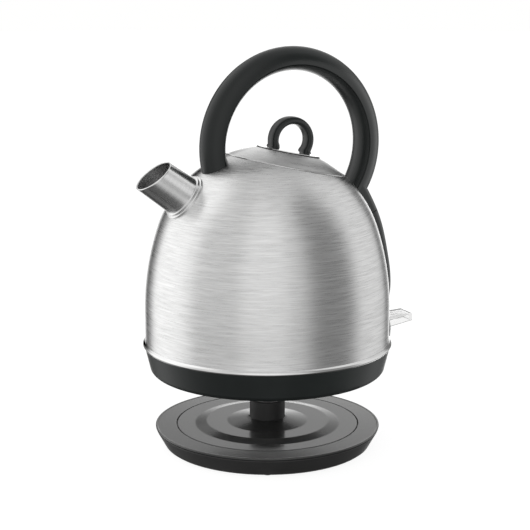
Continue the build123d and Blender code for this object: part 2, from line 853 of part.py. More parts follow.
def make_knob_loop():
    """Plastic ring knob: a half loop on two straight legs with flared feet."""
    section = Pos(knob_loop_radius, 0) * Ellipse(knob_half_thickness, knob_half_width)
    arch = revolve(Plane.XY * section, Axis((0, 0, 0), (0, -1, 0)), 180.0)
    knob = Pos(0, 0, knob_loop_height) * arch
    flare_top = knob_plate_top + 3.6
    for side in (-knob_loop_radius, knob_loop_radius):
        oval = Pos(side, 0) * Ellipse(knob_half_thickness, knob_half_width)
        leg = Pos(0, 0, knob_plate_top) * extrude(oval, knob_loop_height - knob_plate_top)
        middle = Pos(side, 0, knob_plate_top + 1.2) * Ellipse(knob_half_thickness + 0.5, knob_half_width + 0.5)
        base = Pos(side, 0, knob_plate_top) * Ellipse(knob_half_thickness + 1.7, knob_half_width + 1.7)
        top = Pos(side, 0, flare_top) * Ellipse(knob_half_thickness, knob_half_width)
        knob = knob + leg + loft([base, middle, top])
        knob = knob - Pos(side, 0, 0) * rod(1.35, knob_plate_top - 1, knob_plate_top + 7)
    return lid_frame * knob


def make_knob_screws():
    """Two screws from inside the lid into the knob's legs."""
    low = knob_plate_top - 1.9
    items = [Pos(side, 0, low) * screw(3.2, 1.8, 1.35, 8.0) for side in (-knob_loop_radius, knob_loop_radius)]
    return together([lid_frame * item for item in items])


# ---------------------------------------------------------------- write every sub-part
makers = {
    "base_tray": make_base_tray,
    "base_rim": make_base_rim,
    "base_plate": make_base_plate,
    "connector_post": make_connector_post,
    "post_contacts": make_post_contacts,
    "rubber_feet": make_rubber_feet,
    "base_screws": make_base_screws,
    "cord_bush": make_cord_bush,
    "cord_clamp": make_cord_clamp,
    "cord_clamp_screws": make_cord_clamp_screws,
    "skirt": make_skirt,
    "bottom_cover": make_bottom_cover,
    "bottom_screws": make_bottom_screws,
    "trim_ring": make_trim_ring,
    "heater_plate": make_heater_plate,
    "plate_seal": make_plate_seal,
    "heat_diffuser": make_heat_diffuser,
    "heating_element": make_heating_element,
    "control_housing": make_control_housing,
    "control_screws": make_control_screws,
    "bimetal_discs": make_bimetal_discs,
    "element_leads": make_element_leads,
    "contact_carrier": make_contact_carrier,
    "earth_pin": make_earth_pin,
    "contact_rings": make_contact_rings,
    "body_shell": make_body_shell,
    "spout_tube": make_spout_tube,
    "spout_collar": make_spout_collar,
    "spout_filter": make_spout_filter,
    "handle_outer": make_handle_outer,
    "handle_inner": make_handle_inner,
    "handle_root": make_handle_root,
    "handle_front_anchor": lambda: make_anchor(front_foot, 186.0, 22.0),
    "handle_rear_anchor": lambda: make_anchor(rear_foot, -42.0, 22.0),
    "handle_screws": make_handle_screws,
    "handle_washers": make_handle_washers,
    "spine_cover": make_spine_cover,
    "spine_liner": make_spine_liner,
    "steam_tube": make_steam_tube,
    "steam_thermostat": make_steam_thermostat,
    "switch_lamp": make_switch_lamp,
    "pivot_pin": make_pivot_pin,
    "switch_lever": make_switch_lever,
    "lid_cap": make_lid_cap,
    "lid_pan": make_lid_pan,
    "lid_seal": make_lid_seal,
    "knob_plate": make_knob_plate,
    "knob_loop": make_knob_loop,
    "knob_screws": make_knob_screws,
}

for node, maker in makers.items():
    save(node, maker())
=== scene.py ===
import math

import bmesh
import bpy
from mathutils import Matrix, Vector


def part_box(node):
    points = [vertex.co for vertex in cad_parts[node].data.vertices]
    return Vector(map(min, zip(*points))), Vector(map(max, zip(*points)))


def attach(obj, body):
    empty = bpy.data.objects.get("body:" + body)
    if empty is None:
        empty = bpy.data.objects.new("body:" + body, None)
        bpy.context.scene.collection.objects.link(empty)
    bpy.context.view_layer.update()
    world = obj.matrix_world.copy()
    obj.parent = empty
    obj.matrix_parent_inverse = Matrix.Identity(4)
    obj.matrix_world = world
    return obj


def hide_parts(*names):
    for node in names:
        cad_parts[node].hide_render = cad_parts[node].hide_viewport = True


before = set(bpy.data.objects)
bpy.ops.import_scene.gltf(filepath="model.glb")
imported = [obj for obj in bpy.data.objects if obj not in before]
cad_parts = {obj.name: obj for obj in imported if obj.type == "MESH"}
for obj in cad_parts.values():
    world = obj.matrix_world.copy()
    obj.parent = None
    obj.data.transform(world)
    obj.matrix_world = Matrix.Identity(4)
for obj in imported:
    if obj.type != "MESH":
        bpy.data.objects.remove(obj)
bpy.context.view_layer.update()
MM = 0.001

# ---------------------------------------------------------------- camera
CAMERA_TURN = math.radians(26.1)  # round the kettle's axis, from straight in front
CAMERA_DISTANCE = 1.0
CAMERA_HEIGHT = 0.3421
CAMERA_DOWN = math.radians(11.971)
CAMERA_HEADING = math.radians(26.0055)
CAMERA_SIDE = math.atan2(-math.cos(CAMERA_TURN), -math.sin(CAMERA_TURN))  # angle of its side in plan
LENS = 98.70


def make_camera():
    """A long lens, a little above the lid, turned towards the spout's side."""
    data = bpy.data.cameras.new("camera")
    data.sensor_width = 36.0
    data.lens = LENS
    data.clip_start = 0.05
    data.clip_end = 50.0
    camera = bpy.data.objects.new("camera", data)
    camera.location = (
        -CAMERA_DISTANCE * math.sin(CAMERA_TURN),
        -CAMERA_DISTANCE * math.cos(CAMERA_TURN),
        CAMERA_HEIGHT,
    )
    camera.rotation_euler = (math.pi / 2 - CAMERA_DOWN, 0.0, -CAMERA_HEADING)
    bpy.context.scene.collection.objects.link(camera)
    bpy.context.scene.camera = camera


# ---------------------------------------------------------------- the object's own sizes, from the frame
LID_TILT = math.radians(12.1)
LID_SEAM = 68.2 * MM
CAP_CENTRE = 133.4 * MM
LID_POINT = (LID_SEAM * math.sin(LID_TILT), 0.0, CAP_CENTRE + LID_SEAM * math.cos(LID_TILT))
SPOUT_RISE = math.radians(35.8)
LIP = (-85.2 * MM, 0.0, 198.9 * MM)


# ---------------------------------------------------------------- node helpers
class Tree:
    """A short way to write a node tree: each method adds a node and returns an output."""

    def __init__(self, tree):
        self.tree = tree
        self.nodes = tree.nodes
        self.links = tree.links

    def add(self, kind, **settings):
        node = self.nodes.new(kind)
        for name, value in settings.items():
            setattr(node, name, value)
        return node

    def feed(self, socket, value):
        """Link an output to a socket, or set the socket to a plain value."""
        if isinstance(value, bpy.types.NodeSocket):
            self.links.new(value, socket)
        else:
            socket.default_value = value

    def math(self, operation, first, second):
        node = self.add("ShaderNodeMath", operation=operation)
        self.feed(node.inputs[0], first)
        self.feed(node.inputs[1], second)
        return node.outputs[0]

    def vector(self, operation, first, second=(0.0, 0.0, 0.0)):
        node = self.add("ShaderNodeVectorMath", operation=operation)
        self.feed(node.inputs[0], first)
        self.feed(node.inputs[1], second)
        return node.outputs["Value" if operation in ("DOT_PRODUCT", "LENGTH") else "Vector"]

    def range(self, value, low, high, out_low, out_high):
        """Carry low..high over to out_low..out_high, with soft ends."""
        node = self.add("ShaderNodeMapRange", interpolation_type="SMOOTHSTEP")
        self.feed(node.inputs["Value"], value)
        limits = {"From Min": low, "From Max": high, "To Min": out_low, "To Max": out_high}
        for name, number in limits.items():
            self.feed(node.inputs[name], number)
        return node.outputs["Result"]

    def noise(self, vector, scale, detail, roughness):
        node = self.add("ShaderNodeTexNoise")
        self.feed(node.inputs["Vector"], vector)
        node.inputs["Scale"].default_value = scale
        node.inputs["Detail"].default_value = detail
        node.inputs["Roughness"].default_value = roughness
        return node.outputs["Fac"]

    def ramp(self, value, stops):
        node = self.add("ShaderNodeValToRGB")
        elements = node.color_ramp.elements
        while len(elements) < len(stops):
            elements.new(1.0)
        for element, (place, colour) in zip(elements, stops):
            element.position = place
            element.color = (*colour, 1.0)
        self.feed(node.inputs["Fac"], value)
        return node.outputs["Color"]

    def bump(self, height, distance, strength=1.0):
        node = self.add("ShaderNodeBump")
        self.feed(node.inputs["Height"], height)
        node.inputs["Distance"].default_value = distance
        node.inputs["Strength"].default_value = strength
        return node.outputs["Normal"]

    def place(self):
        """The point's position in the shared frame, in metres."""
        return self.add("ShaderNodeTexCoord").outputs["Object"]

    def xyz(self, x=0.0, y=0.0, z=0.0):
        node = self.add("ShaderNodeCombineXYZ")
        for socket, value in zip(node.inputs, (x, y, z)):
            self.feed(socket, value)
        return node.outputs[0]

    def parts(self, vector):
        node = self.add("ShaderNodeSeparateXYZ")
        self.feed(node.inputs[0], vector)
        return node.outputs


def grey(value, tint=(1.0, 1.0, 1.0)):
    """A grey with a slight tint."""
    return tuple(value * share for share in tint)


COOL = (0.86, 1.05, 1.03)  # the black plastic leans slightly to green and blue


def material(name):
    """A new material, its Tree and its shader."""
    made = bpy.data.materials.new("finish_" + name)
    made.use_nodes = True
    tree = Tree(made.node_tree)
    return made, tree, made.node_tree.nodes["Principled BSDF"]


# ---------------------------------------------------------------- materials
class BrushAxis:
    """The axis that a steel piece was brushed round: a point on it and its tilt towards +X."""

    def __init__(self, point=(0.0, 0.0, 0.0), tilt=0.0):
        self.point = point
        self.tilt = tilt
        self.direction = (math.sin(tilt), 0.0, math.cos(tilt))

    def lines(self, tree, length):
        """Fine and broad noise, drawn out in the round direction and thin across it."""
        moved = tree.vector("SUBTRACT", tree.place(), self.point)
        turn = tree.add("ShaderNodeVectorRotate", rotation_type="Y_AXIS")
        tree.feed(turn.inputs["Vector"], moved)
        turn.inputs["Angle"].default_value = -self.tilt
        x, y, z = tree.parts(turn.outputs[0])
        radius = tree.vector("LENGTH", tree.xyz(x, y, 0.0))
        across = tree.math("SUBTRACT", z, radius)
        east = tree.math("DIVIDE", x, radius)
        north = tree.math("DIVIDE", y, radius)
        outputs = []
        for round_scale, cross_scale in ((length, 2500.0), (length * 0.4, 900.0)):
            point = tree.xyz(
                tree.math("MULTIPLY", east, round_scale),
                tree.math("MULTIPLY", north, round_scale),
                tree.math("MULTIPLY", across, cross_scale),
            )
            outputs.append(tree.noise(point, 1.0, 2.0, 0.6))
        return outputs

    def across_lines(self, tree):
        """The direction on the surface at right angles to the brush lines."""
        moved = tree.vector("SUBTRACT", tree.place(), self.point)
        along = tree.vector("CROSS_PRODUCT", self.direction, moved)
        normal = tree.add("ShaderNodeNewGeometry").outputs["Normal"]
        return tree.vector("NORMALIZE", tree.vector("CROSS_PRODUCT", along, normal))


def brushed_steel(name, bright, rough, axis, length=12.0, contrast=1.0, anisotropy=0.8):
    """Stainless steel brushed round an axis."""
    made, tree, shader = material(name)
    fine, broad = axis.lines(tree, length)
    both = tree.math("ADD", tree.math("MULTIPLY", fine, 0.45), tree.math("MULTIPLY", broad, 0.55))
    dark = grey(bright * (1.0 - 0.20 * contrast))
    light = grey(bright * (1.0 + 0.12 * contrast))
    colour = tree.ramp(both, ((0.36, dark), (0.64, light)))
    tree.feed(shader.inputs["Base Color"], colour)
    shader.inputs["Metallic"].default_value = 1.0
    shader.inputs["Anisotropic"].default_value = anisotropy
    spread = 0.15 * contrast
    rough_low = rough * (1.0 - spread)
    rough_high = rough * (1.0 + spread)
    tree.feed(shader.inputs["Roughness"], tree.range(both, 0.3, 0.7, rough_low, rough_high))
    tree.feed(shader.inputs["Tangent"], axis.across_lines(tree))
    tree.feed(shader.inputs["Normal"], tree.bump(broad, 0.000003, 0.1))
    return made


def plastic(name, colour, rough, gloss=0.5, grain=2600.0, grain_depth=0.000012):
    """Moulded plastic with a fine spark-eroded grain and a slight unevenness of tone and gloss."""
    mottle = 0.10
    made, tree, shader = material(name)
    place = tree.place()
    grain_noise = tree.noise(place, grain, 2.0, 0.6)
    cloud = tree.noise(place, 38.0, 3.0, 0.5)
    dark = tuple(channel * (1.0 - mottle) for channel in colour)
    light = tuple(channel * (1.0 + mottle) for channel in colour)
    tree.feed(shader.inputs["Base Color"], tree.ramp(cloud, ((0.35, dark), (0.65, light))))
    tree.feed(shader.inputs["Roughness"], tree.range(cloud, 0.3, 0.7, rough * 0.94, rough * 1.06))
    shader.inputs["Specular IOR Level"].default_value = gloss
    tree.feed(shader.inputs["Normal"], tree.bump(grain_noise, grain_depth))
    return made


def bright_metal(name, colour, rough):
    """Plain metal with faint drawing lines and uneven roughness."""
    made, tree, shader = material(name)
    x, y, z = tree.parts(tree.place())
    point = tree.xyz(tree.math("MULTIPLY", x, 0.2), tree.math("MULTIPLY", y, 0.2), z)
    drawn = tree.noise(point, 240.0, 3.0, 0.6)
    cloud = tree.noise(tree.place(), 55.0, 3.0, 0.5)
    dark = tuple(channel * 0.94 for channel in colour)
    tree.feed(shader.inputs["Base Color"], tree.ramp(cloud, ((0.35, dark), (0.65, colour))))
    shader.inputs["Metallic"].default_value = 1.0
    tree.feed(shader.inputs["Roughness"], tree.range(cloud, 0.3, 0.7, rough * 0.8, rough * 1.3))
    tree.feed(shader.inputs["Normal"], tree.bump(drawn, 0.00002, 0.4))
    return made


def clear_plastic(name, tint, rough):
    """Clear moulded plastic with faint flow marks."""
    made, tree, shader = material(name)
    place = tree.place()
    flow = tree.noise(place, 160.0, 3.0, 0.5)
    shade = tuple(channel * 0.97 for channel in tint)
    tree.feed(shader.inputs["Base Color"], tree.ramp(flow, ((0.4, shade), (0.6, tint))))
    tree.feed(shader.inputs["Roughness"], tree.range(flow, 0.3, 0.7, rough * 0.7, rough * 1.5))
    shader.inputs["Transmission Weight"].default_value = 1.0
    shader.inputs["IOR"].default_value = 1.49
    tree.feed(shader.inputs["Normal"], tree.bump(flow, 0.00006, 0.5))
    return made


def make_finishes():
    """One finish for each of the record's material slots."""
    return {
        "brushed_steel": brushed_steel("brushed_steel", 0.80, 0.30, BrushAxis(), length=8.0),
        "spout_steel": brushed_steel(
            "spout_steel", 0.86, 0.24, BrushAxis(LIP, SPOUT_RISE - math.pi / 2), length=2.0,
            contrast=0.3, anisotropy=0.5
        ),
        "inner_steel": bright_metal("inner_steel", grey(0.55), 0.32),
        "chrome_trim": bright_metal("chrome_trim", grey(0.86), 0.08),
        "charcoal_plastic": plastic("charcoal_plastic", grey(0.013, COOL), 0.30, gloss=0.36),
        "skirt_plastic": plastic("skirt_plastic", grey(0.018, COOL), 0.36, gloss=0.35),
        "base_grey_plastic": plastic(
            "base_grey_plastic", grey(0.050), 0.19, gloss=0.55, grain_depth=0.000004
        ),
        "base_black_plastic": plastic("base_black_plastic", grey(0.038), 0.40, gloss=0.4),
        "black_rubber": plastic("black_rubber", grey(0.012), 0.75, gloss=0.3, grain=1500.0),
        "silicone": plastic("silicone", grey(0.42), 0.5, gloss=0.4, grain=900.0),
        "clear_plastic": clear_plastic("clear_plastic", grey(0.97), 0.05),
        "lamp_clear": clear_plastic("lamp_clear", (0.96, 0.78, 0.62), 0.12),
        "inner_plastic": plastic("inner_plastic", grey(0.012), 0.5, gloss=0.3),
        "control_plastic": plastic("control_plastic", (0.36, 0.34, 0.30), 0.5, grain=1400.0),
        "brass": bright_metal("brass", (0.72, 0.52, 0.24), 0.24),
        "diffuser_aluminium": bright_metal("diffuser_aluminium", grey(0.78), 0.36),
        "element_sheath": bright_metal("element_sheath", (0.36, 0.35, 0.33), 0.42),
        "screw_steel": bright_metal("screw_steel", grey(0.60), 0.28),
    }


HIDDEN_ABOVE_SHELL = 20.0 * MM


def finish_cad_nodes(finishes):
    """Give every carried-over node its finish, and hide the kettle's underside from reflections.

    Returns the lid's steel, which the lid's skin uses as well.
    """
    lid_axis = BrushAxis(LID_POINT, LID_TILT)
    lid_steel = brushed_steel("lid_steel", 0.80, 0.30, lid_axis, length=6.0, contrast=0.7)
    base_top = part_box("base_rim")[1].z
    hidden_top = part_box("body_shell")[0].z + HIDDEN_ABOVE_SHELL
    base_nodes = ("connector_post", "post_contacts", "base_plate")
    for name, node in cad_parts.items():
        for index, imported in enumerate(node.data.materials):
            finish = finishes[imported.name.split(".")[0]]
            node.data.materials[index] = lid_steel if name == "lid_cap" else finish
        low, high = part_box(name)
        if low.z > base_top and high.z < hidden_top and name not in base_nodes:
            node.visible_glossy = False
    return lid_steel


# ---------------------------------------------------------------- mesh helpers
def arc(centre, radius, start, end, steps=12):
    """Points of an arc in (across, up), from one angle in degrees to another."""
    points = []
    for step in range(steps + 1):
        angle = math.radians(start + (end - start) * step / steps)
        points.append((centre[0] + radius * math.cos(angle), centre[1] + radius * math.sin(angle)))
    return points


SUPPORT = 0.15  # mm; extra points beside a rounded corner keep the faces next to it flat


def rounded(*corners):
    """A closed outline through (across, up, radius) corners, each rounded by its own radius."""
    steps = 4
    outline = []
    for index, (across, up, radius) in enumerate(corners):
        here = Vector((across, up))
        if radius == 0:
            outline.append((across, up))
            continue
        before = Vector(corners[index - 1][:2]) - here
        after = Vector(corners[(index + 1) % len(corners)][:2]) - here
        half = before.angle(after) / 2
        reach = min(radius / math.tan(half), 0.48 * before.length, 0.48 * after.length)
        middle = here + (before.normalized() + after.normalized()).normalized() * reach / math.cos(half)
        first = here + before.normalized() * reach - middle
        last = here + after.normalized() * reach - middle
        turn = first.angle_signed(last)
        if before.length > 2 * (reach + SUPPORT):
            outline.append(tuple(here + before.normalized() * (reach + SUPPORT)))
        for step in range(steps + 1):
            spoke = first.copy()
            spoke.rotate(Matrix.Rotation(-turn * step / steps, 2))
            outline.append(tuple(middle + spoke))
        if after.length > 2 * (reach + SUPPORT):
            outline.append(tuple(here + after.normalized() * (reach + SUPPORT)))
    return outline


def piece(name, form, body, finish, nodes=(), crease=32.0):
    """Turn a bmesh in millimetres into a named piece that rides on a body and stands for CAD nodes."""
    bmesh.ops.remove_doubles(form, verts=form.verts, dist=1e-5)
    bmesh.ops.dissolve_degenerate(form, edges=form.edges, dist=1e-6)
    bmesh.ops.recalc_face_normals(form, faces=form.faces)
    bmesh.ops.scale(form, vec=(MM, MM, MM), verts=form.verts)
    mesh = bpy.data.meshes.new(name)
    form.to_mesh(mesh)
    form.free()
    mesh.shade_smooth()
    mesh.set_sharp_from_angle(angle=math.radians(crease))
    mesh.materials.append(finish)
    made = bpy.data.objects.new(name, mesh)
    bpy.context.scene.collection.objects.link(made)
    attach(made, body)
    if nodes:
        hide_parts(*nodes)
    return made


def add_rings(form, rings, closed_ends=False, joined=False):
    """Skin a list of equal rings of points with quads."""
    rows = [[form.verts.new(point) for point in ring] for ring in rings]
    count = len(rows[0])
    pairs = list(zip(rows, rows[1:]))
    if joined:
        pairs.append((rows[-1], rows[0]))
    for low, high in pairs:
        for index in range(count):
            after = (index + 1) % count
            form.faces.new((low[index], low[after], high[after], high[index]))
    if closed_ends:
        form.faces.new(rows[0][::-1])
        form.faces.new(rows[-1])


def lathe(outline, place=Matrix.Identity(4), segments=192):
    """A closed (radius, height) outline turned about the Z axis of a frame."""
    form = bmesh.new()
    rings = []
    for index in range(segments):
        turn = 2 * math.pi * index / segments
        ring = [place @ Vector((r * math.cos(turn), r * math.sin(turn), z)) for r, z in outline]
        rings.append(ring)
    add_rings(form, rings, joined=True)
    return form


def smooth_step(value):
    """0 to 1 with level ends."""
    value = min(1.0, max(0.0, value))
    return value * value * (3.0 - 2.0 * value)


def even_step(value, soft=0.12):
    """0 to 1 at an even slope, with short soft ends."""
    value = min(1.0, max(0.0, value))
    slope = 1.0 / (1.0 - soft)
    if value < soft:
        return slope * value ** 2 / (2.0 * soft)
    if value > 1.0 - soft:
        return 1.0 - slope * (1.0 - value) ** 2 / (2.0 * soft)
    return slope * (value - soft / 2.0)


# ---------------------------------------------------------------- power base
PLATE_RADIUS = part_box("base_plate")[1].x / MM
RIM_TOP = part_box("base_rim")[1].z / MM
RIM_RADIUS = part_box("base_rim")[1].x / MM
POST_RADIUS = 12.6


def plate_height(radius):
    """The height of the base plate's top: a flat, a ramp, a second flat and a cone to the post."""
    shelf_rise = 1.5
    cone_rise = 2.5
    root_rise = 0.35
    step = even_step((52.3 - radius) / 9.3)
    cone = even_step((29.4 - radius) / 16.0, 0.06)
    root = max(0.0, (14.8 - radius) / 2.0) ** 2
    return RIM_TOP + shelf_rise * step + cone_rise * cone + root_rise * root


def make_base_top(finishes):
    """The base's centre plate and outer rim, with the small radii of their moulded edges."""
    finish = finishes["base_grey_plastic"]
    bore = POST_RADIUS + 0.2
    deck = 12.9  # the tray's deck, which the plate's edge and the rim stand on
    samples = 120
    top = []
    for index in range(samples + 1):
        radius = bore + (PLATE_RADIUS - 0.3 - bore) * index / samples
        top.append((radius, plate_height(radius)))
    edge = arc((PLATE_RADIUS - 0.3, RIM_TOP - 0.3), 0.3, 90.0, 0.0, 5)
    under = [
        (PLATE_RADIUS, deck), (52.5, deck), (44.0, 15.2), (29.5, 15.2), (16.0, 18.0), (bore, 18.0),
    ]
    plate = lathe(top + edge + under)
    piece("base_centre_plate", plate, "power_base", finish, ["base_plate"])
    groove = PLATE_RADIUS + 0.6
    rim = rounded(
        (RIM_RADIUS - 1.1, deck, 0.1),
        (RIM_RADIUS, RIM_TOP - 1.2, 0.3),
        (RIM_RADIUS, RIM_TOP - 0.2, 0.4),
        (RIM_RADIUS - 1.3, RIM_TOP - 0.2, 0.15),
        (RIM_RADIUS - 1.6, RIM_TOP - 0.4, 0.2),
        (groove, RIM_TOP, 0.3),
        (groove, deck, 0.1),
        (groove - 2.7, deck, 0.1),
        (groove - 2.7, 10.9, 0.1),
        (groove + 1.6, 10.9, 0.1),
        (groove + 1.6, deck, 0.0),
    )
    piece("base_outer_rim", lathe(rim), "power_base", finish, ["base_rim"])


# ---------------------------------------------------------------- bright trim
def make_trim(finishes):
    """Rolled bright band with a fine step above and below its bead."""
    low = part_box("trim_ring")[0].z / MM
    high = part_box("trim_ring")[1].z / MM
    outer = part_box("trim_ring")[1].x / MM
    inner = outer - 3.4
    shoulder = 74.5
    bead = arc((outer - 1.5, (low + high) / 2 - 0.1), 1.5, -62.0, 62.0, 14)
    outline = [(inner, low), (outer - 1.1, low)] + bead + [
        (outer - 1.2, high - 0.25), (outer - 1.5, high), (outer - 1.93, high),
        (outer - 1.93, shoulder), (inner, shoulder),
    ]
    piece("trim_band", lathe(outline, segments=256), "kettle", finishes["chrome_trim"],
          ["trim_ring"])


# ---------------------------------------------------------------- lid
LID_FRAME = Matrix.Translation(Vector(LID_POINT) / MM) @ Matrix.Rotation(LID_TILT, 4, "Y")
CAP_RADIUS = 80.6
SEAT_RADIUS = 22.9
LID_RADIUS = 42.3


def lid_height(radius):
    """Height of the dome's sphere over the lid's seam plane."""
    return math.sqrt(CAP_RADIUS ** 2 - radius ** 2) - LID_SEAM / MM


def make_lid_skin(finishes, lid_steel):
    """The lid's steel skin: a piece of the dome with a rolled edge and a dished seat."""
    samples = 16
    inner = SEAT_RADIUS + 0.3
    outer = LID_RADIUS - 0.3
    skin_low = lid_height(outer) - 0.55
    under_outer = LID_RADIUS - 1.3
    under_inner = SEAT_RADIUS + 0.8
    seat_low = 7.5
    seat_top = 8.2
    outline = []
    for index in range(samples + 1):
        radius = inner + (outer - inner) * index / samples
        outline.append((radius, lid_height(radius)))
    outline += arc((outer, lid_height(outer) - 0.3), 0.3, 70.0, 0.0, 5)
    outline += [(LID_RADIUS, skin_low), (LID_RADIUS - 1.2, skin_low)]
    for index in range(samples + 1):
        radius = under_outer + (under_inner - under_outer) * index / samples
        outline.append((radius, lid_height(radius) - 0.8))
    outline += [(SEAT_RADIUS + 0.7, seat_low), (0.0, seat_low), (0.0, seat_top), (SEAT_RADIUS, seat_top)]
    outline += [(SEAT_RADIUS, lid_height(SEAT_RADIUS) - 0.3)]
    piece("lid_skin", lathe(outline, LID_FRAME), "lid", lid_steel, ["lid_cap"])
    # Painted shade: a black band under the skin's rolled edge stands for the shadow down in the narrow
    # gap between the lid and the neck.
    band_low = -3.4
    band_top = skin_low - 0.02
    band = rounded(
        (LID_RADIUS - 1.2, band_top, 0.0), (LID_RADIUS + 0.55, band_top, 0.1),
        (LID_RADIUS + 0.55, band_low, 0.5), (LID_RADIUS - 1.2, band_low, 0.0),
    )
    piece("lid_seam_shade_band", lathe(band, LID_FRAME), "lid", finishes["inner_plastic"])


KNOB_PLATE_TOP = 10.1
KNOB_RADIUS = 13.6
KNOB_CENTRE = 17.9
KNOB_CROWN = 1.5
KNOB_FOOT = 12.4
KNOB_FOOT_LEVEL = KNOB_PLATE_TOP + KNOB_CROWN * (1.0 - (KNOB_FOOT / SEAT_RADIUS) ** 2) - 0.35
KNOB_HALF_THICKNESS = 2.75
KNOB_HALF_WIDTH = 5.6


def squared(value):
    """Turns a round section into one with flatter sides when used on its sine and cosine."""
    return math.copysign(abs(value) ** 0.72, value)


def make_knob_disc(finishes):
    """A dark ring under the disc, painted shade for the shadow gap beneath its edge, and the polished,
    slightly crowned disc that the ring knob stands on.
    """
    radius = SEAT_RADIUS - 0.4
    under = KNOB_PLATE_TOP - 0.5
    disc = [(0.0, under), (radius - 0.1, under), (radius, under + 0.1), (radius, KNOB_PLATE_TOP - 0.2)]
    samples = 24
    for index in range(samples + 1):
        share = 1.0 - index / samples
        disc.append(((radius - 0.15) * share, KNOB_PLATE_TOP + KNOB_CROWN * (1.0 - share ** 2)))
    # Painted shade: a dark ring just inside the disc's edge and under it stands for the shadow in the
    # gap beneath the disc.
    disc_shade_ring = rounded(
        (0.0, 8.25, 0.0), (radius - 0.5, 8.25, 0.1), (radius - 0.5, under - 0.02, 0.1),
        (0.0, under - 0.02, 0.0),
    )
    piece("knob_disc_shade", lathe(disc_shade_ring, LID_FRAME), "lid", finishes["inner_plastic"])
    piece("knob_disc", lathe(disc, LID_FRAME), "lid", finishes["chrome_trim"],
          ["knob_plate"])


def knob_path():
    """The ring's middle line in (across, up): a leg, the round of the ring and the other leg."""
    low_angle = -24.0
    turns = 56
    loop = arc((0.0, KNOB_CENTRE), KNOB_RADIUS, low_angle, 180.0 - low_angle, turns)
    leg_across, leg_top = loop[0]
    steps = 9
    right = []
    for index in range(steps):
        share = index / steps
        height = KNOB_FOOT_LEVEL + (leg_top - KNOB_FOOT_LEVEL) * share
        right.append((KNOB_FOOT + (leg_across - KNOB_FOOT) * share ** 2, height))
    left = [(-across, height) for across, height in reversed(right)]
    return right + loop + left


def make_knob_ring(finishes):
    """The ring knob, with flatter sides and feet that flare where they meet the disc."""
    flare_size = 0.95
    flare_height = 1.6
    sides = 40
    path = knob_path()
    rings = []
    for index, (across, height) in enumerate(path):
        before = Vector(path[max(index - 1, 0)])
        after = Vector(path[min(index + 1, len(path) - 1)])
        along = (after - before).normalized()
        if index in (0, len(path) - 1):
            along = Vector((0.0, 1.0 if index == 0 else -1.0))
        normal = Vector((along.y, -along.x))
        flare = flare_size * math.exp(-((height - KNOB_FOOT_LEVEL) / flare_height) ** 1.5)
        ring = []
        for side in range(sides):
            turn = 2 * math.pi * side / sides
            thick = (KNOB_HALF_THICKNESS + flare) * squared(math.cos(turn))
            wide = (KNOB_HALF_WIDTH + flare) * squared(math.sin(turn))
            ring.append(LID_FRAME @ Vector((across + normal.x * thick, wide, height + normal.y * thick)))
        rings.append(ring)
    form = bmesh.new()
    add_rings(form, rings, closed_ends=True)
    piece("knob_ring", form, "lid", finishes["charcoal_plastic"], ["knob_loop"])


# ---------------------------------------------------------------- handle
LOOP_X = 18.4
LOOP_Z = 213.6
GRIP_CENTRE = 56.4
GRIP_RADIUS = 12.3
GRIP_CROWN = 52.1


def dome_angles(reach, width):
    """Where a line of the grip, `reach` from the loop's centre, meets the dome: rear and front angle."""
    offset = Vector((LOOP_X, LOOP_Z - CAP_CENTRE / MM))
    sunk = CAP_RADIUS - 0.3
    share = (sunk ** 2 - width ** 2 - reach ** 2 - offset.length_squared) / (2 * reach * offset.length)
    middle = math.atan2(offset.y, offset.x)
    half = math.acos(share)
    return middle - half, middle + half


def grip_sweep(section, flare):
    """Sweep a closed (reach, width) section round the loop, each line ending on the dome."""
    lines = []
    steps = 150
    for reach, width in section:
        rear, front = dome_angles(reach, width)
        line = []
        for index in range(steps + 1):
            share = index / steps
            angle = rear + (front - rear) * share
            near_foot = (front - angle) * reach / 2.6
            inward = smooth_step((GRIP_CENTRE + 3.0 - reach) / 8.0)
            shift = flare * inward * math.exp(-near_foot ** 1.4)
            radius = reach - shift
            line.append((LOOP_X + radius * math.cos(angle), width, LOOP_Z + radius * math.sin(angle)))
        lines.append(line)
    form = bmesh.new()
    rings = [[line[index] for line in lines] for index in range(steps + 1)]
    add_rings(form, rings, closed_ends=True)
    return form


def make_grip(finishes):
    """The grip's outer half-round shell and the crowned strip that closes its inner side."""
    finish = finishes["charcoal_plastic"]
    outside = arc((GRIP_CENTRE, 0.0), GRIP_RADIUS, -88.0, 88.0, 40)
    inside = arc((GRIP_CENTRE + 0.1, 0.0), GRIP_RADIUS - 2.4, 89.0, -89.0, 24)
    lip_low = [(GRIP_CENTRE + 0.05, -11.9)]
    lip_high = [(GRIP_CENTRE + 0.05, 11.9)]
    section = outside + lip_high + inside + lip_low
    form = grip_sweep(section, 0.0)
    piece("grip_shell", form, "kettle", finish, ["handle_outer"])
    depth = GRIP_CENTRE - GRIP_CROWN
    crown_radius = (GRIP_RADIUS ** 2 + depth ** 2) / (2 * depth)
    half = math.degrees(math.asin((GRIP_RADIUS - 0.35) / crown_radius))
    crown = arc((GRIP_CROWN + crown_radius, 0.0), crown_radius, 180.0 - half, 180.0 + half, 30)
    back = [(GRIP_CENTRE - 0.05, -11.7), (GRIP_CENTRE - 0.05, -8.5), (GRIP_CENTRE - 1.3, -8.0),
            (GRIP_CENTRE - 1.3, 8.0), (GRIP_CENTRE - 0.05, 8.5), (GRIP_CENTRE - 0.05, 11.7)]
    form = grip_sweep(crown + back, 1.3)
    piece("grip_strip", form, "kettle", finish, ["handle_inner"])


# ---------------------------------------------------------------- spout
SPOUT_FRAME_TILT = SPOUT_RISE - math.pi / 2
LIP_RISE = math.radians(52.1)
SPOUT_ROOT_RADIUS = 14.7
SPOUT_LENGTH = 26.9
SPOUT_TAPER = 1.0 / 27.0
SPOUT_WALL = 1.0


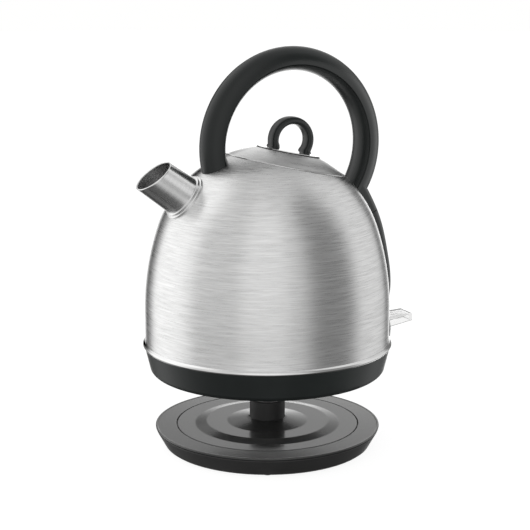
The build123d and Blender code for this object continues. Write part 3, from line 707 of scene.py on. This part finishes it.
def make_spout(finishes):
    """Tapered tube whose obliquely cut end has a small rolled lip."""
    lip = Vector(LIP) / MM
    axis = Vector((-math.cos(SPOUT_RISE), 0.0, math.sin(SPOUT_RISE)))
    root = lip - axis * SPOUT_LENGTH
    place = Matrix.Translation(root) @ Matrix.Rotation(SPOUT_FRAME_TILT, 4, "Y")
    cut = Vector((-math.cos(LIP_RISE), 0.0, math.sin(LIP_RISE)))
    inside_depth = 5.0  # how far the tube reaches in behind its root
    segments = 128
    steps = 12
    bead_radius = 0.50
    bead_drop = 0.52
    wall_end = 1.1  # how far short of the lip the straight walls stop

    def end_height(radius, turn):
        """Where a line of the tube meets the lip's plane, along the spout."""
        start = place @ Vector((radius * math.cos(turn), radius * math.sin(turn), 0.0))
        slope = -SPOUT_TAPER * (place.to_3x3() @ Vector((math.cos(turn), math.sin(turn), 0.0)))
        return (lip - start).dot(cut) / (axis + slope).dot(cut)

    def line_point(radius, turn, height):
        narrowed = radius - SPOUT_TAPER * height
        return place @ Vector((narrowed * math.cos(turn), narrowed * math.sin(turn), height))

    rings = []
    for index in range(segments):
        turn = 2 * math.pi * index / segments
        outer_end = end_height(SPOUT_ROOT_RADIUS, turn)
        ring = []
        reach = outer_end - wall_end + inside_depth
        for step in range(steps + 1):
            height = -inside_depth + reach * step / steps
            ring.append(line_point(SPOUT_ROOT_RADIUS, turn, height))
        for angle in range(0, 181, 30):
            bead = math.radians(angle)
            middle = SPOUT_ROOT_RADIUS - SPOUT_WALL / 2
            across = middle + bead_radius * math.cos(bead)
            height = outer_end - bead_drop + bead_radius * math.sin(bead)
            ring.append(line_point(across, turn, height))
        for step in range(steps + 1):
            height = outer_end - wall_end - reach * step / steps
            ring.append(line_point(SPOUT_ROOT_RADIUS - SPOUT_WALL, turn, height))
        rings.append(ring)
    form = bmesh.new()
    add_rings(form, rings, joined=True)
    piece("spout_body", form, "kettle", finishes["spout_steel"], ["spout_tube"])


# ---------------------------------------------------------------- studio
PLASTIC_GLOW = 1.1
SPOUT_GLOW = 0.55
BOX_WIDTH = 1.5
BOX_HEIGHT = 1.0
BOX_TURN = math.radians(86.0)  # to the right of the camera's side
BOX_RISE = 0.05
BOX_AIMED_AT = Vector((0.0, 0.0, 0.15))
ROOM_LIGHT = 0.70
CEILING_LIGHT = 0.66


def studio_light():
    """Soft light all round: upright panels and flags, told by their angle round the kettle."""
    world = bpy.data.worlds.new("studio")
    bpy.context.scene.world = world
    world.use_nodes = True
    tree = Tree(world.node_tree)
    background = world.node_tree.nodes["Background"]
    direction = tree.add("ShaderNodeTexCoord").outputs["Generated"]
    x, y, z = tree.parts(direction)
    level = tree.vector("NORMALIZE", tree.xyz(x, y, 0.0))
    light = ROOM_LIGHT
    # (degrees to the right of the front, half width of the full part, of the soft edge,
    #  strength, the height of its upper edge as the direction's Z)
    panels = (
        (-114.0, 12.0, 50.0, 0.48, 2.0),  # large soft box on the spout's side
        (-3.0, 8.0, 30.0, 0.20, 2.0),     # weak fill from the front
        (65.0, 4.0, 36.0, -0.44, 2.0),    # dark flag on the right
        (108.0, 8.0, 30.0, 0.10, 2.0),    # strip on the handle's side
        (-154.0, 8.0, 26.0, -0.80, 0.40),  # narrow black flag behind on the left
        (153.0, 3.0, 16.0, -0.50, 0.40),  # narrow grey flag behind on the right
        (180.0, 5.0, 12.0, 0.42, 0.45),   # white sweep straight behind
        (180.0, 10.0, 26.0, 1.20, 0.10),  # its bright foot, low down
    )
    for angle, full, soft, strength, top in panels:
        turn = CAMERA_SIDE + math.radians(angle)
        facing = tree.vector("DOT_PRODUCT", level, (math.cos(turn), math.sin(turn), 0.0))
        amount = tree.range(
            facing, math.cos(math.radians(soft)), math.cos(math.radians(full)), 0.0, strength
        )
        inside = tree.range(z, top - 0.12, top + 0.02, 1.0, 0.0)
        light = tree.math("ADD", light, tree.math("MULTIPLY", amount, inside))
    ceiling = tree.range(z, 0.80, 0.98, 0.0, 1.0)
    mix = tree.add("ShaderNodeMix", data_type="FLOAT")
    tree.feed(mix.inputs[0], ceiling)
    tree.feed(mix.inputs[2], light)
    tree.feed(mix.inputs[3], CEILING_LIGHT)
    below = tree.range(z, -0.78, -0.32, 0.10, 1.0)
    light = tree.math("MULTIPLY", mix.outputs[0], below)
    path = tree.add("ShaderNodeLightPath")
    seen = tree.math("MAXIMUM", path.outputs["Is Camera Ray"], path.outputs["Is Transmission Ray"])
    shown = tree.add("ShaderNodeMix", data_type="FLOAT")
    tree.feed(shown.inputs[0], seen)
    tree.feed(shown.inputs[2], light)
    tree.feed(shown.inputs[3], 1.0)
    background.inputs["Color"].default_value = (1.0, 1.0, 0.995, 1.0)
    tree.feed(background.inputs["Strength"], shown.outputs[0])


def right_box(name, glow, lit_names):
    """A soft box on the right that lights only the named parts, as a shaded lamp would."""
    data = bpy.data.lights.new(name, "AREA")
    data.shape = "RECTANGLE"
    data.size = BOX_WIDTH
    data.size_y = BOX_HEIGHT
    data.energy = glow * math.pi * data.size * data.size_y
    lamp = bpy.data.objects.new(name, data)
    turn = CAMERA_SIDE + BOX_TURN
    aim = Vector((math.cos(turn), math.sin(turn), BOX_RISE)).normalized()
    lamp.location = BOX_AIMED_AT + aim
    lamp.rotation_mode = "QUATERNION"
    lamp.rotation_quaternion = aim.to_track_quat("Z", "Y")
    lamp.visible_camera = False
    bpy.context.scene.collection.objects.link(lamp)
    lit = bpy.data.collections.new("lit_by_" + name)
    for lit_name in lit_names:
        lit.objects.link(bpy.data.objects[lit_name])
    lamp.light_linking.receiver_collection = lit


def make_floor():
    """A plain white table top that only the camera sees."""
    mesh = bpy.data.meshes.new("floor")
    floor = bpy.data.objects.new("floor", mesh)
    bpy.context.scene.collection.objects.link(floor)
    form = bmesh.new()
    bmesh.ops.create_circle(form, cap_ends=True, radius=6.0, segments=96)
    form.to_mesh(mesh)
    form.free()
    made, tree, shader = material("floor")
    cloud = tree.noise(tree.place(), 3.0, 2.0, 0.5)
    tree.feed(shader.inputs["Base Color"], tree.ramp(cloud, ((0.3, grey(0.235)), (0.7, grey(0.25)))))
    shader.inputs["Roughness"].default_value = 1.0
    shader.inputs["Specular IOR Level"].default_value = 0.0
    shader.inputs["Emission Color"].default_value = (1.0, 1.0, 1.0, 1.0)
    shader.inputs["Emission Strength"].default_value = 0.90
    mesh.materials.append(made)
    floor.visible_glossy = False
    floor.visible_diffuse = False
    floor.visible_transmission = False
    floor.visible_shadow = False


# ---------------------------------------------------------------- the whole scene
make_camera()
finishes = make_finishes()
lid_steel = finish_cad_nodes(finishes)
make_base_top(finishes)
make_trim(finishes)
make_lid_skin(finishes, lid_steel)
make_knob_disc(finishes)
make_knob_ring(finishes)
make_grip(finishes)
make_spout(finishes)
studio_light()
right_box(
    "plastic_box", PLASTIC_GLOW,
    ("grip_shell", "grip_strip", "knob_ring", "spine_cover", "handle_root", "skirt"),
)
right_box("spout_box", SPOUT_GLOW, ("spout_body",))
make_floor()
bpy.context.scene.view_settings.view_transform = "Standard"
